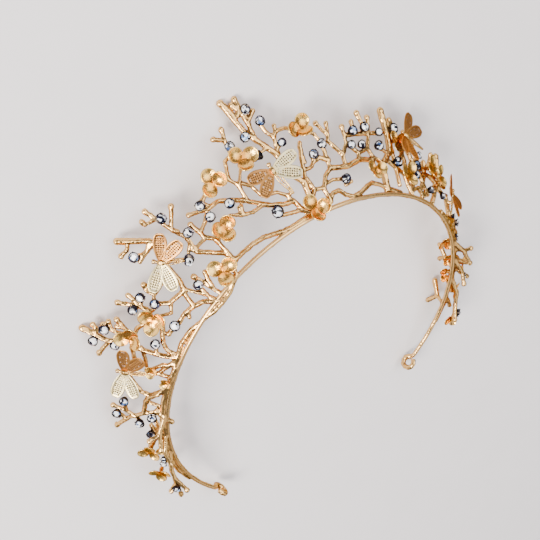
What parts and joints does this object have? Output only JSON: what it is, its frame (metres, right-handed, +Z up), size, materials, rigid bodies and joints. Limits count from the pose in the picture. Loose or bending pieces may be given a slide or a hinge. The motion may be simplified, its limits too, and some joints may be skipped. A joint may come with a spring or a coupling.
{
  "type": "bridal crown",
  "caption": "Open bridal crown: a bent wire band with an eye at each end, cast coral twigs, cupped flowers, dragonflies with pierced wings and round cut stones",
  "frame": {"origin": "middle of the bottom of the bounding box, on the floor the crown lies on", "axes": "the crown lies on its peaks and its right tail, the brow toward -Y and the open back toward +Y; +Z is up out of the floor, and the side that is left when the worn crown is seen from the front is toward +X"},
  "size_m": [0.179, 0.1748, 0.0356],
  "materials": {
    "cast_gold": "satin cast",
    "filigree_gold": "satin stamped",
    "pale_gold": "satin stamped",
    "crystal": "cut and polished"
  },
  "bodies": {
    "root": {"crown_frame": "cast_gold", "dragonfly_1": "filigree_gold", "dragonfly_2": "pale_gold", "dragonfly_3": "pale_gold", "dragonfly_4": "filigree_gold", "dragonfly_5": "filigree_gold", "stone_1": "crystal", "stone_2": "crystal", "stone_3": "crystal", "stone_4": "crystal", "stone_5": "crystal", "stone_6": "crystal", "stone_7": "crystal", "stone_8": "crystal", "stone_9": "crystal", "stone_10": "crystal", "stone_11": "crystal", "stone_12": "crystal", "stone_13": "crystal", "stone_14": "crystal", "stone_15": "crystal", "stone_16": "crystal", "stone_17": "crystal", "stone_18": "crystal", "stone_19": "crystal", "stone_20": "crystal", "stone_21": "crystal", "stone_22": "crystal", "stone_23": "crystal", "stone_24": "crystal", "stone_25": "crystal", "stone_26": "crystal", "stone_27": "crystal", "stone_28": "crystal", "stone_29": "crystal", "stone_30": "crystal", "stone_31": "crystal", "stone_32": "crystal", "stone_33": "crystal", "stone_34": "crystal", "stone_35": "crystal", "stone_36": "crystal", "stone_37": "crystal", "stone_38": "crystal", "stone_39": "crystal", "stone_40": "crystal", "stone_41": "crystal"}
  },
  "joints": []
}
